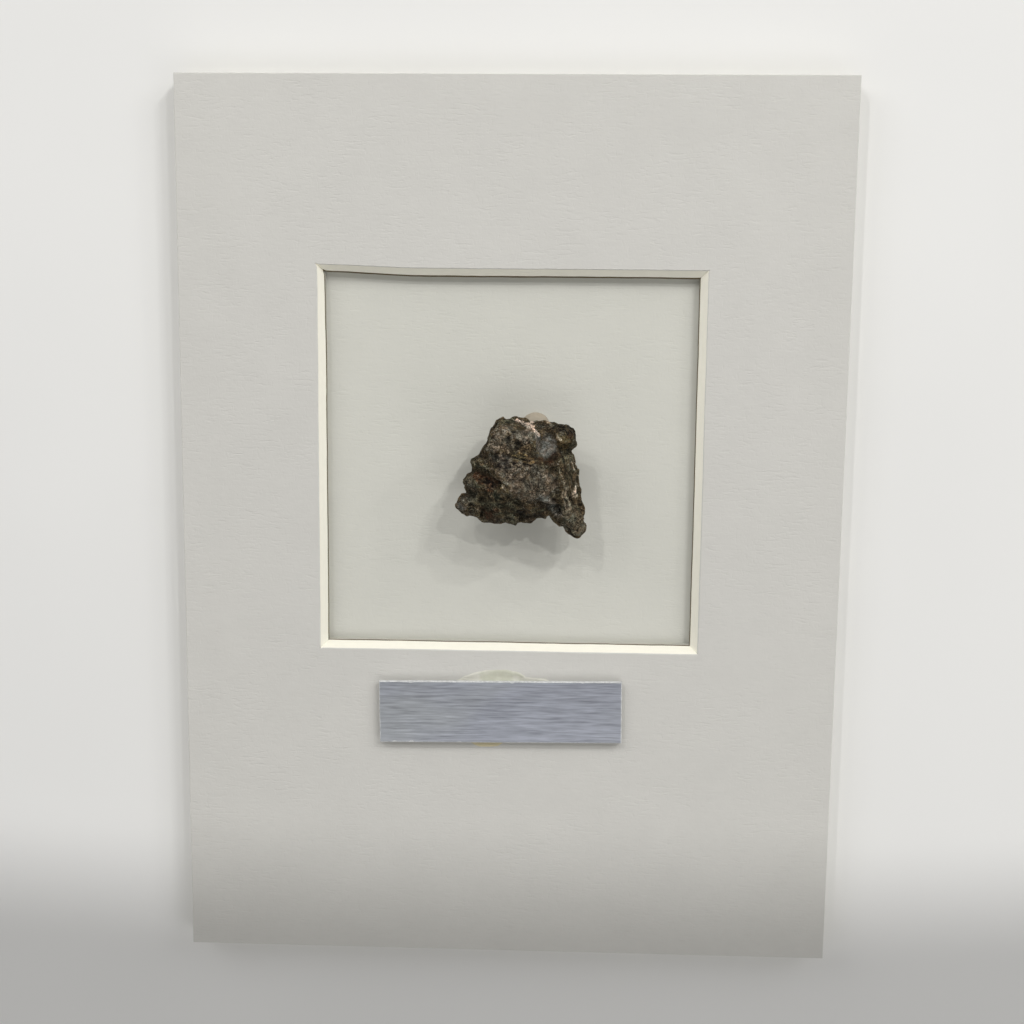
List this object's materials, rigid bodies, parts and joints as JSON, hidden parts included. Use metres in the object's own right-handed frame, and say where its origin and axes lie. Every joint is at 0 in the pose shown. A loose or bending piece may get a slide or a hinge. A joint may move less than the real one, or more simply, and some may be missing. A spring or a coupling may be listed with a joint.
{
  "type": "lunar meteorite in a window mat",
  "caption": "Rough dark lunar meteorite glued to a pale card inside a square bevelled window mat, with a bare brushed label plate below it.",
  "frame": {"origin": "middle of the flat back, which is the lowest face when the display lies on its back", "axes": "+X to the right across the mat, +Y up the mat towards its top edge, +Z out of the mat's face towards the viewer"},
  "size_m": [0.1034, 0.139, 0.0145],
  "materials": {
    "lunar_breccia": "rough, granular and slightly glossy in places",
    "adhesive": "dull beige, dried",
    "backing_card": "smooth pale card, faintly green",
    "spacer_board": "plain board, hidden",
    "mat_board": "off-white paper face with a cream core at the bevel",
    "dried_glue": "thin yellowish dried film",
    "brushed_plate": "finely brushed along its length"
  },
  "bodies": {
    "root": {"meteorite": "lunar_breccia", "adhesive_dab": "adhesive", "backing_board": "backing_card", "spacer_top": "spacer_board", "spacer_bottom": "spacer_board", "spacer_left": "spacer_board", "spacer_right": "spacer_board", "window_mat": "mat_board", "label_adhesive": "dried_glue", "label_plate": "brushed_plate"}
  },
  "joints": []
}
